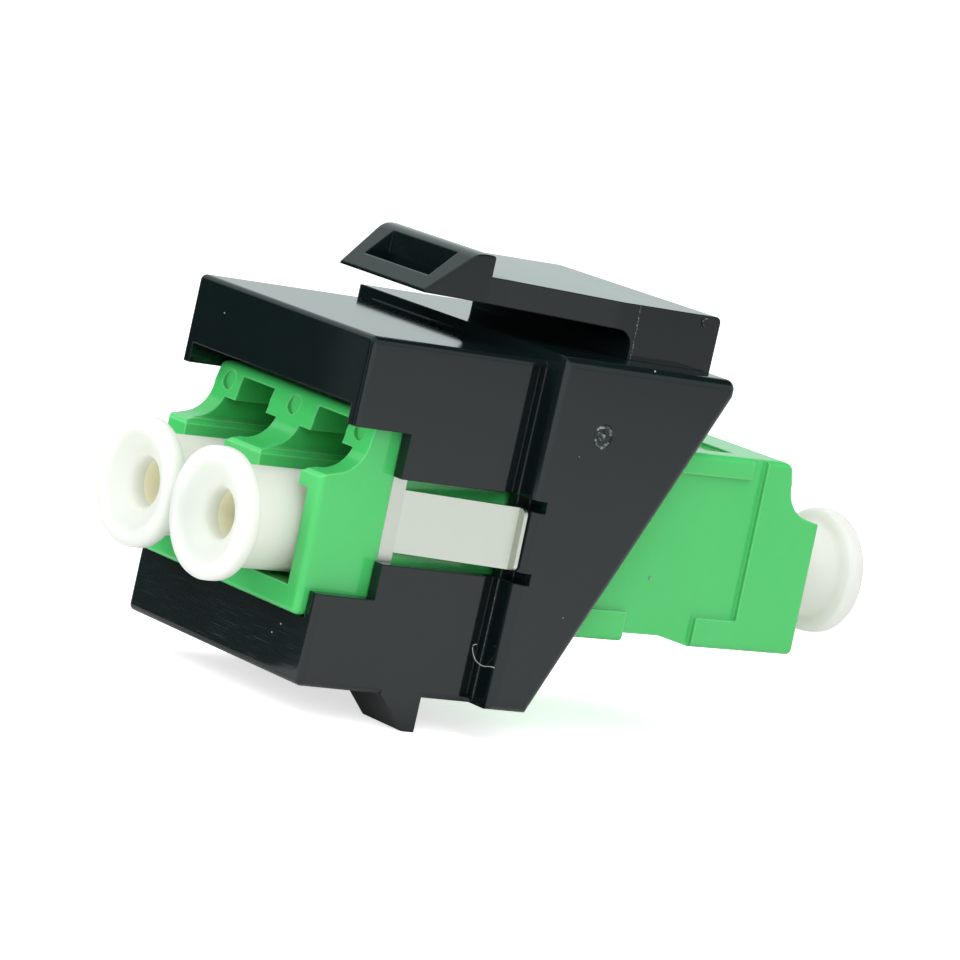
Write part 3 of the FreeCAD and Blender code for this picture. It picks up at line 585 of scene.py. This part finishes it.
def makeThread(name, values):
    points = values["points"]
    sides = threadShape["sides"]
    length = sum((Vector(points[k + 1]) - Vector(points[k])).length for k in range(len(points) - 1))
    count = max(threadShape["fewestRings"], int(length / threadShape["ringGap"]))
    deselectAll()
    bpy.ops.mesh.primitive_circle_add(vertices=sides, radius=1, fill_type="NGON")
    piece = bpy.context.object
    piece.name = name
    bpy.ops.object.mode_set(mode="EDIT")
    bpy.ops.mesh.select_all(action="SELECT")
    for k in range(count):        # a straight rod first, one ring at each whole height
        bpy.ops.mesh.extrude_region_move(TRANSFORM_OT_translate={"value": (0, 0, 1)})
    bpy.ops.object.mode_set(mode="OBJECT")
    rings = threadRings(values, count)
    for vertex in piece.data.vertices:      # then each ring goes to its place on the curve
        spoke = round(math.degrees(math.atan2(vertex.co.y, vertex.co.x)) * sides / 360 - 0.5) % sides
        vertex.co = rings[round(vertex.co.z)][spoke]
    piece.data.materials.append(values["material"])
    makeActive(piece)
    bpy.ops.object.mode_set(mode="EDIT")
    bpy.ops.mesh.select_all(action="SELECT")
    bpy.ops.mesh.normals_make_consistent(inside=False)
    bpy.ops.object.mode_set(mode="OBJECT")
    bpy.ops.object.shade_smooth()
    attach(piece, "jack")


for name, values in threads.items():
    makeThread(name, values)

# ejector marks: a torn ring with crumbs in it, on each side of the rear body
ejector = {
    "place": (8.48, 12.99, 13.26),
    "radius": 0.6,
    "corners": 48,
    "insets": (0.08, 0.08, 0.08, 0.1, 0.1),
    "ring": (0.4, 0.58),          # radii between which the torn ring stands
    "ringGap": (1.9, -0.8),       # where the ring is broken, and for how long
    "crumbRadius": 0.3,
    "crumbChance": 0.25,
    "high": (0.0175, 0.0325),     # least height of the torn ring, and how much its waves add
    "highWaves": 2.5,
    "sunk": -0.1,
    "wobble": (0.07, 0.05, 0.02), # share of the radius: broad waves, fine waves, chance
    "wobbleWaves": (3, 7),
    "seed": 11,
    "smoothAngle": 35,
}


def makeEjectorMark(name, side):
    rng = random.Random(ejector["seed"] + side)
    deselectAll()
    bpy.ops.mesh.primitive_circle_add(vertices=ejector["corners"], radius=ejector["radius"], fill_type="NGON")
    piece = bpy.context.object
    piece.name = name
    bpy.ops.object.mode_set(mode="EDIT")
    bpy.ops.mesh.select_all(action="SELECT")
    for inset in ejector["insets"]:
        bpy.ops.mesh.inset(thickness=inset, depth=0)
    bpy.ops.object.mode_set(mode="OBJECT")
    broad, fine, rough = ejector["wobble"]
    broadWaves, fineWaves = ejector["wobbleWaves"]
    for vertex in piece.data.vertices:
        radius = math.hypot(vertex.co.x, vertex.co.y)
        angle = math.atan2(vertex.co.y, vertex.co.x)
        wobble = 1 + broad * math.sin(broadWaves * angle + side) + fine * math.sin(fineWaves * angle)
        wobble += rough * rng.uniform(-1, 1)
        vertex.co.x *= wobble
        vertex.co.y *= wobble
        inRing = ejector["ring"][0] < radius < ejector["ring"][1]
        onRing = inRing and math.sin(2 * angle + ejector["ringGap"][0]) > ejector["ringGap"][1]
        crumb = radius < ejector["crumbRadius"] and rng.random() > 1 - ejector["crumbChance"]
        height = ejector["high"][0] + ejector["high"][1] * abs(math.sin(ejector["highWaves"] * angle + side))
        vertex.co.z = height if onRing or crumb else ejector["sunk"]
    turn = Matrix.Rotation(math.radians(90 * side), 4, "Y")
    x, y, z = ejector["place"]
    piece.data.transform(Matrix.Translation(Vector((side * x, y, z)) * mm) @ turn @ Matrix.Scale(mm, 4))
    piece.data.materials.append(tornAbs)
    smoothBelow(piece, ejector["smoothAngle"])
    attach(piece, "jack")


for word, side in (("right", 1), ("left", -1)):
    makeEjectorMark("ejector_mark_" + word, side)

# dust specks: tiny pale crumbs lying on the mouldings
specks = {
    "speck_flank": {"place": (6.23, 19.51, 6.63), "size": 0.15},
    "speck_body_low": {"place": (8.5, 13.05, 4.68), "size": 0.06},
    "speck_body_high": {"place": (8.5, 11.87, 12.2), "size": 0.05},
    "speck_hood": {"place": (-4.55, 0.0, 14.79), "size": 0.07},
    "speck_sill_a": {"place": (4.42, 0.0, 1.82), "size": 0.08},
    "speck_sill_b": {"place": (4.96, 0.0, 2.34), "size": 0.08},
    "speck_lip": {"place": (8.48, 15.16, 16.6), "size": 0.09},
}
speckLumps = (0.7, 1.2)
for number, (name, values) in enumerate(specks.items()):
    rng = random.Random(number)
    deselectAll()
    bpy.ops.mesh.primitive_ico_sphere_add(subdivisions=2, radius=values["size"] / 2)
    crumb = bpy.context.object
    crumb.name = name
    for vertex in crumb.data.vertices:
        vertex.co *= rng.uniform(*speckLumps)
    crumb.data.transform(Matrix.Translation(Vector(values["place"]) * mm) @ Matrix.Scale(mm, 4))
    crumb.data.materials.append(greyLint)
    makeActive(crumb)
    bpy.ops.object.shade_smooth()
    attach(crumb, "jack")


print("stage")

stage = {
    "floorHeight": -1.62 * mm,
    "floorSize": 6.0,
    "floorColour": "#e8e8e8",       # what the floor throws back onto the jack
    "floorLift": 0.65,              # brings the seen floor up to the white of the background
    "worldStrength": 0.42,
    "mirrorColour": "#ecfaf8",      # what shiny faces see of the room
    "mirrorStrength": 0.9,
    "lens": 215.7145,
    "sensor": 36,
    "cameraPlace": (211.751, -152.593, 41.528),
    "cameraTurn": (82.9902, -12.5713, 53.4723),
}
white = (1.0, 1.0, 1.0, 1.0)

deselectAll()
bpy.ops.mesh.primitive_plane_add(size=stage["floorSize"], location=(0, 0, stage["floorHeight"]))
floor = bpy.context.object
floor.name = "floor"
floorMaterial, floorTree, floorOutput = newMaterial("matt_white_floor")
floorLight = addNode(floorTree, "LightPath")
floorMatt = addNode(floorTree, "BsdfDiffuse", {"Color": linear(stage["floorColour"])})
floorPale = addNode(floorTree, "BsdfDiffuse", {"Color": white})
floorLift = addNode(floorTree, "Emission", {"Strength": stage["floorLift"]})
floorSeen = addNode(floorTree, "AddShader", None, {0: floorPale.outputs[0], 1: floorLift.outputs[0]})
floorMix = addNode(floorTree, "MixShader", None,
                   {0: floorLight.outputs["Is Camera Ray"], 1: floorMatt.outputs[0], 2: floorSeen.outputs[0]})
floorTree.links.new(floorMix.outputs[0], floorOutput.inputs["Surface"])
floor.data.materials.append(floorMaterial)

world = bpy.data.worlds.new("pale_studio")
bpy.context.scene.world = world
world.use_nodes = True
worldTree = world.node_tree
worldTree.nodes.clear()
worldPath = addNode(worldTree, "LightPath")
worldPlain = addNode(worldTree, "Background", {"Color": white, "Strength": stage["worldStrength"]})
worldSeen = addNode(worldTree, "Background", {"Color": white, "Strength": 1.0})
worldMirror = addNode(worldTree, "Background",
                      {"Color": linear(stage["mirrorColour"]), "Strength": stage["mirrorStrength"]})
worldGlossy = addNode(worldTree, "MixShader", None,
                      {0: worldPath.outputs["Is Glossy Ray"], 1: worldPlain.outputs[0], 2: worldMirror.outputs[0]})
worldMix = addNode(worldTree, "MixShader", None,
                   {0: worldPath.outputs["Is Camera Ray"], 1: worldGlossy.outputs[0], 2: worldSeen.outputs[0]})
worldOut = worldTree.nodes.new("ShaderNodeOutputWorld")
worldTree.links.new(worldMix.outputs[0], worldOut.inputs["Surface"])

lamps = {
    "overheadSoftbox": {"place": (40, 20, 260), "aim": (0, 12, 8), "size": 260, "power": 0.6},
    "keySoftbox": {"place": (260, -120, 160), "aim": (0, 12, 8), "size": 200, "power": 0.44},
    "fillSoftbox": {"place": (-60, -260, 120), "aim": (0, 12, 8), "size": 200, "power": 0.58},
}
for name, lamp in lamps.items():
    data = bpy.data.lights.new(name, "AREA")
    data.shape = "SQUARE"
    data.size = lamp["size"] * mm
    data.energy = lamp["power"]
    softbox = bpy.data.objects.new(name, data)
    bpy.context.scene.collection.objects.link(softbox)
    softbox.location = Vector(lamp["place"]) * mm
    aim = Vector(lamp["aim"]) * mm - softbox.location
    softbox.rotation_euler = aim.to_track_quat("-Z", "Y").to_euler()
    softbox.visible_glossy = False

# cards seen in reflections alone: they keep front faces and rounded edges deep black
cards = {
    "dark_card_upright": {"place": (-90, -66, 8), "aim": (0, 0, 8), "size": (96, 96), "shade": 0.012},
    "dark_card_flat": {"place": (-115, -110, -1.5), "aim": (-115, -110, 50), "size": (170, 170), "shade": 0.02},
    "dark_card_near": {"place": (-24.5, -24.5, -1.4), "aim": (-24.5, -24.5, 50), "size": (41, 41), "shade": 0.12},
    "dark_card_above": {"place": (0, 110, 150), "aim": (0, 110, 0), "size": (220, 220), "shade": 0.03},
    "strip_card": {"place": (-81.4, -65.0, 8), "aim": (0, 0, 8), "size": (2.0, 96), "shade": 0.3},
    "lip_card": {"place": (24, -90, 8), "aim": (8, 10, 8), "size": (60, 60), "shade": 0.08},
}
for name, values in cards.items():
    cardMaterial, cardTree, cardOutput = newMaterial(name)
    cardShade = addNode(cardTree, "Emission", {"Strength": values["shade"]})
    cardTree.links.new(cardShade.outputs[0], cardOutput.inputs["Surface"])
    deselectAll()
    bpy.ops.mesh.primitive_plane_add(size=mm)
    card = bpy.context.object
    card.name = name
    card.scale = (values["size"][0], values["size"][1], 1.0)
    card.location = Vector(values["place"]) * mm
    card.rotation_euler = (Vector(values["aim"]) - Vector(values["place"])).to_track_quat("Z", "Y").to_euler()
    card.data.materials.append(cardMaterial)
    card.visible_camera = False
    card.visible_diffuse = False
    card.visible_shadow = False
    card.visible_transmission = False

cameraData = bpy.data.cameras.new("photo_camera")
cameraData.sensor_width = stage["sensor"]
cameraData.lens = stage["lens"]
camera = bpy.data.objects.new("photo_camera", cameraData)
bpy.context.scene.collection.objects.link(camera)
camera.location = Vector(stage["cameraPlace"]) * mm
camera.rotation_euler = [math.radians(angle) for angle in stage["cameraTurn"]]
bpy.context.scene.camera = camera

bpy.context.scene.view_settings.view_transform = "Standard"
